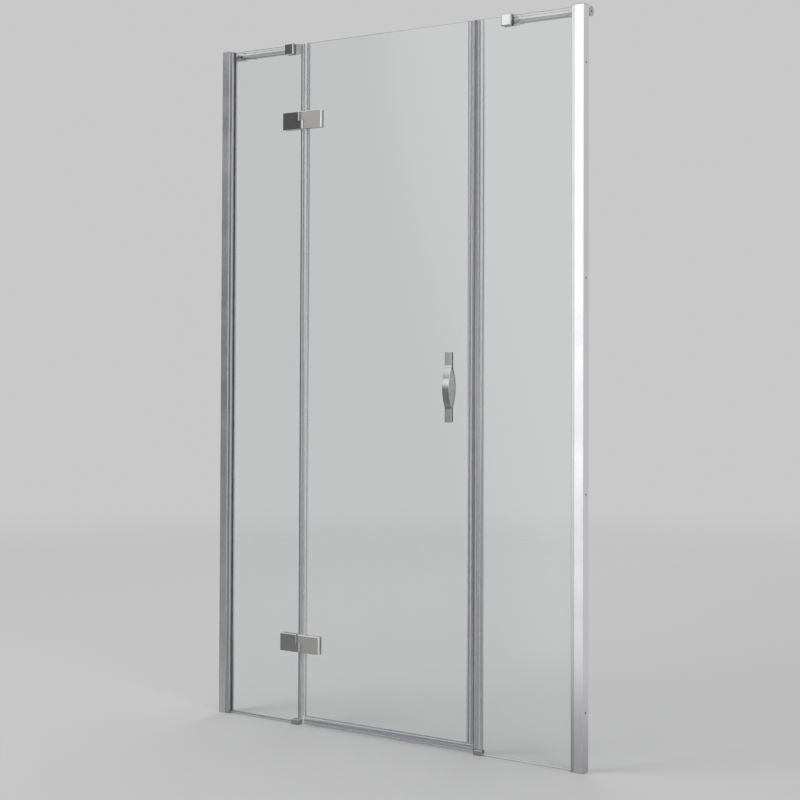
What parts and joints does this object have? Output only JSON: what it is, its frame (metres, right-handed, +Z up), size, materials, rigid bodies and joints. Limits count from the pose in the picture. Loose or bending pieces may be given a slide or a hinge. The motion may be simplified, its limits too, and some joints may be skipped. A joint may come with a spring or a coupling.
{
  "type": "shower door",
  "caption": "Alcove shower door: clear glass door hinged to a fixed side pane, second fixed pane, wall profiles, seals, support bars and bow handles.",
  "frame": {"origin": "middle of the opening and of the depth of the whole door, on the shower tray", "axes": "+X to the right seen from outside, +Y into the shower, +Z up"},
  "size_m": [1.19, 0.0624, 1.95],
  "materials": {
    "clear_glass": "clear toughened float glass, polished edges",
    "bright_aluminium": "bright anodised extrusion",
    "chrome": "polished chrome plate",
    "steel": "stainless fastener",
    "clear_vinyl": "clear vinyl seal, slightly milky",
    "grey_rubber": "grey soft rubber",
    "magnet": "flexible magnet strip",
    "bearing_plastic": "low-friction bearing plastic",
    "cap_plastic": "silver-grey moulded plastic"
  },
  "bodies": {
    "frame": {"left_fixed_glass": "clear_glass", "right_fixed_glass": "clear_glass", "left_wall_channel": "bright_aluminium", "right_wall_channel": "bright_aluminium", "left_glass_profile": "bright_aluminium", "right_glass_profile": "bright_aluminium", "left_foot_clip": "chrome", "right_foot_clip": "chrome", "left_bar_clamp": "chrome", "right_bar_clamp": "chrome", "left_bar_insert": "chrome", "right_bar_insert": "chrome", "left_support_bar": "chrome", "right_support_bar": "chrome", "left_bar_ring": "chrome", "right_bar_ring": "chrome", "left_bar_flange": "chrome", "right_bar_flange": "chrome", "upper_hinge_fixed_plate": "chrome", "upper_hinge_fixed_cover": "chrome", "lower_hinge_fixed_plate": "chrome", "lower_hinge_fixed_cover": "chrome", "hinge_fixed_screws": "steel", "profile_screws": "steel", "foot_screws": "steel", "bar_clamp_screws": "steel", "fixed_magnetic_seal": "clear_vinyl", "left_sill_gasket": "clear_vinyl", "right_sill_gasket": "clear_vinyl", "left_glazing_gasket": "grey_rubber", "right_glazing_gasket": "grey_rubber", "hinge_fixed_gaskets": "grey_rubber", "foot_liners": "grey_rubber", "bar_clamp_pads": "grey_rubber", "fixed_magnet_strip": "magnet", "upper_hinge_bush": "bearing_plastic", "lower_hinge_bush": "bearing_plastic", "left_profile_cap": "cap_plastic", "right_profile_cap": "cap_plastic"},
    "door": {"door_glass": "clear_glass", "upper_hinge_door_plate": "chrome", "lower_hinge_door_plate": "chrome", "upper_hinge_door_cover": "chrome", "lower_hinge_door_cover": "chrome", "upper_hinge_pin": "steel", "lower_hinge_pin": "steel", "hinge_door_gaskets": "grey_rubber", "hinge_door_screws": "steel", "hinge_side_seal": "clear_vinyl", "drip_seal": "clear_vinyl", "door_magnetic_seal": "clear_vinyl", "door_magnet_strip": "magnet", "outer_handle": "chrome", "inner_handle": "chrome", "handle_bolts": "steel", "handle_pads": "clear_vinyl"}
  },
  "joints": [
    {"name": "door_swing", "type": "hinge", "parent": "frame", "child": "door", "pos_m": [-0.305, -0.01675, 0.977], "axis": [0, 0, -1], "range_deg": [0, 105]}
  ]
}
